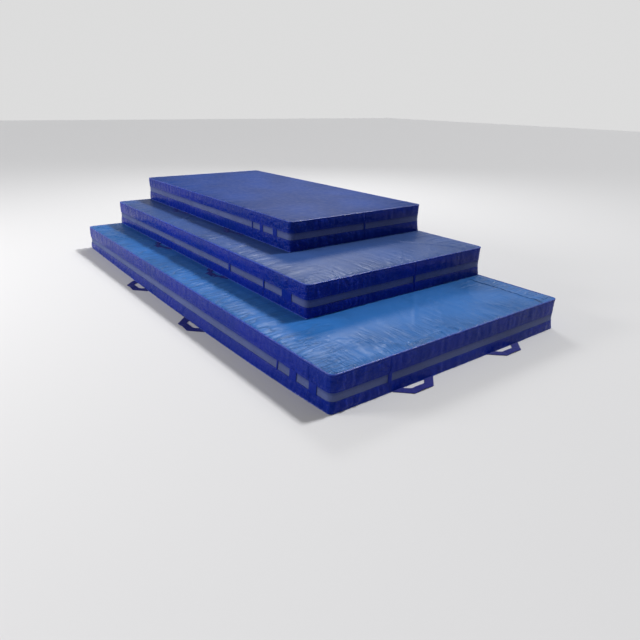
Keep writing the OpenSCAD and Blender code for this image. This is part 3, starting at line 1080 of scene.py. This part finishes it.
def handle_roots(mat):
    """The sewn ends of each strap: folded tabs from under the mat's edge to the line that it turns about."""
    verts, faces, count = [], [], 0
    angles = np.linspace(math.pi / 2, -math.pi / 2, 9)
    fold = np.stack([np.cos(angles), np.sin(angles)], -1) * ROOT_RADIUS
    middle = HANDLE_BASE / 2 - LEG_WIDTH / 2
    for node in mat.handles:
        place, axis, reach, up = hinge(node)
        basis = np.array([axis, reach, up])
        edge = max(mat.x0 - place.x, place.x - mat.x1, mat.y0 - place.y, place.y - mat.y1) + 3 * MM
        ends = [(-edge, ROOT_RADIUS * 0.8)], [(-edge, -ROOT_RADIUS * 0.8)]
        profile = np.concatenate([ends[0], fold, ends[1]])
        n = len(profile)
        for side in (-1, 1):
            along = side * middle + np.linspace(-0.51, 0.51, 5) * LEG_WIDTH
            grid = np.stack(np.broadcast_arrays(along[:, None], profile[:, 0], profile[:, 1]), -1)
            verts.append((grid @ basis + np.array(place)).reshape(-1, 3))
            starts = np.arange(len(along) - 1) * n
            under = np.stack([starts + n - 1, starts + 2 * n - 1, starts + n, starts], -1)
            tab = [*grid_faces(len(along), n), *under, np.arange(n), len(along) * n - 1 - np.arange(n)]
            faces += [face + count for face in tab]
            count += len(along) * n
    made = piece(f"{mat.name}_handle_roots", np.concatenate(verts), faces, mat.body, "webbing")
    if mat.name == "bottom":
        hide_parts("bottom_handle_tabs")


STITCH_PITCH = 8 * MM
STITCH_LONG = 4.6 * MM
STITCH_THICK = 0.55 * MM
# One stitch: its points as shares of its half length, width and height, and its faces
STITCH_POINTS = np.array([(-1, 0, 0.0), (-0.8, -1, 0.55), (-0.8, 1, 0.55), (0.8, -1, 0.55), (0.8, 1, 0.55),
                          (1, 0, 0.0), (0, 0, 1.1)])
STITCH_FACES = [np.array(face) for face in ((0, 1, 6), (0, 6, 2), (1, 3, 6), (2, 6, 4), (3, 5, 6), (4, 6, 5),
                                            (0, 2, 1), (1, 2, 4, 3), (3, 4, 5))]


def stitches(mat, name, lines):
    """Rows of stitches. Each line is (points, normals), and its stitches lie flat on the surface there."""
    verts, faces, count = [], [], 0
    for points, normals in lines:
        steps = np.linalg.norm(np.diff(points, axis=0), axis=1)
        reach = np.concatenate([[0], np.cumsum(steps)])
        places = np.arange(STITCH_PITCH, reach[-1], STITCH_PITCH)
        middle, ahead, normal = (
            np.stack([np.interp(where, reach, values[:, k]) for k in range(3)], -1)
            for where, values in ((places, points), (places + STITCH_LONG / 2, points), (places, normals)))
        along = ahead - middle
        along /= np.maximum(np.linalg.norm(along, axis=1, keepdims=True), 1e-9)
        side = np.cross(normal, along)
        for m, a, s, n in zip(middle, along, side, normal):
            verts.append(m + STITCH_POINTS[:, :1] * a * STITCH_LONG / 2
                         + STITCH_POINTS[:, 1:2] * s * STITCH_THICK + STITCH_POINTS[:, 2:] * n * STITCH_THICK)
            faces += [face + count for face in STITCH_FACES]
            count += len(STITCH_POINTS)
    piece(name, np.concatenate(verts), faces, mat.body, "piping", material="thread")


def row_line(outer, row):
    """One row of a wall's grid as a closed line of points, sunk a little, with outward normals."""
    line = outer[:, row]
    line = np.concatenate([line, line[:1]])
    forward = np.roll(outer[:, row], -1, 0) - np.roll(outer[:, row], 1, 0)
    normal = np.stack([forward[:, 1], -forward[:, 0], np.zeros(len(forward))], -1)
    normal /= np.linalg.norm(normal, axis=1, keepdims=True)
    normal = np.concatenate([normal, normal[:1]])
    return line - 0.2 * MM * normal, normal


def panel_line(mat, inset):
    """A closed line on the top panel, at an inset from the mat's edge."""
    places, outs, _ = rim(mat, SEAM_SQUARENESS)
    line = np.concatenate([places - outs * inset, np.zeros((len(places), 1))], -1)
    line[:, 2] = mat.top + panel_rise(mat, line) - 0.1 * MM
    line = np.concatenate([line, line[:1]])
    return line, np.tile([0, 0, 1.0], (len(line), 1))


TOOTH_PITCH = 3.2 * MM
TOOTH_HALF = 2.9 * MM
TOOTH_FILL = 0.42


def zip_parts(mat):
    """Tape and interlocked teeth in the back wall. The slider and its pull are the CAD's own."""
    low, high = mat.zip
    xs = np.arange(low.x, high.x, 12 * MM)
    middle = (low.z + high.z) / 2
    zs = np.concatenate([np.linspace(low.z, middle - 4 * MM, 4), np.linspace(middle + 4 * MM, high.z, 4)])
    x, z = np.meshgrid(xs, zs, indexing="ij")
    inner_half = np.abs(z - middle) < 5 * MM
    outer = np.stack([x, np.full_like(x, mat.y1) + 0.5 * MM + 0.2 * MM * inner_half, z], -1)
    outer[..., 1] += 0.15 * MM * perlin(outer, (0.03, 0.03, 0.02), 1.0)
    back = outer.copy()
    back[..., 1] -= 0.9 * MM
    verts, faces = shell(back, outer, False)
    tape = piece(f"{mat.name}_zip_cloth", verts, faces, mat.body, "zip_tape")
    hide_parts(f"{mat.name}_zip_tape")

    box = np.array([(a, b, c) for a in (-1, 1) for b in (0, 1) for c in (-1, 1)], float)
    quads = np.array([(0, 1, 3, 2), (4, 6, 7, 5), (0, 4, 5, 1), (2, 3, 7, 6), (0, 2, 6, 4), (1, 5, 7, 3)])
    shape = box * (TOOTH_PITCH * TOOTH_FILL, 0.55 * MM, TOOTH_HALF)
    shape[:, 0] *= np.where(box[:, 1] > 0, 0.7, 1)
    verts, faces = [], []
    for k, start in enumerate(np.arange(low.x + 4 * MM, high.x - 4 * MM, TOOTH_PITCH)):
        way = 1 if k % 2 == 0 else -1
        verts.append(shape + (start, mat.y1 + 0.6 * MM, middle + way * 0.5 * MM))
        faces += [*(quads + 8 * k)]
    teeth = piece(f"{mat.name}_zip_coil", np.concatenate(verts), faces, mat.body, "zip_teeth")
    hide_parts(f"{mat.name}_zip_chain")


def build(mat):
    upper = wall(mat, "upper_wall", mat.band_high - 2 * MM, mat.top - EDGE, 19, 2.0 * MM, 0)
    lower = wall(mat, "lower_wall", mat.base + EDGE, mat.band_low, 13, 0, 0.3 * MM)
    vent_band(mat)
    top_panel(mat)
    base_panel(mat)
    piping(mat, "top_piping", mat.top - EDGE / 2, 4 * MM, SEAM_SQUARENESS)
    piping(mat, "bottom_piping", mat.base + EDGE / 2, EDGE / 2, FOOT_SQUARENESS)
    ties(mat)
    zip_parts(mat)
    handle_roots(mat)
    rows = [row_line(upper, -3), row_line(upper, 2), row_line(lower, -2)]
    rows += [panel_line(mat, 14 * MM), panel_line(mat, 20 * MM)]
    stitches(mat, f"{mat.name}_stitching", rows)


def finish_cad_nodes():
    """Procedural materials on the CAD nodes that stay: the foam and the metal of the zips."""
    slot_of = {s["node"]: s["material_slot"] for s in frame["record"]["subparts"]}
    for name, made in frame["nodes"].items():
        made.data.materials.clear()
        made.data.materials.append(MATERIALS[slot_of[name]])


finish_cad_nodes()
add_camera()
add_stage()
handle_names = [name for name in frame["bodies"] if "_handle_" in name]
stack = (("bottom", "middle"), ("middle", "top"), ("top", None))
mats = [Mat(name, above, [h for h in handle_names if h.startswith(name)]) for name, above in stack]
simulate_cloth(mats)
for mat in mats:
    build(mat)
for seed, name in enumerate(handle_names):
    handle(name, seed)
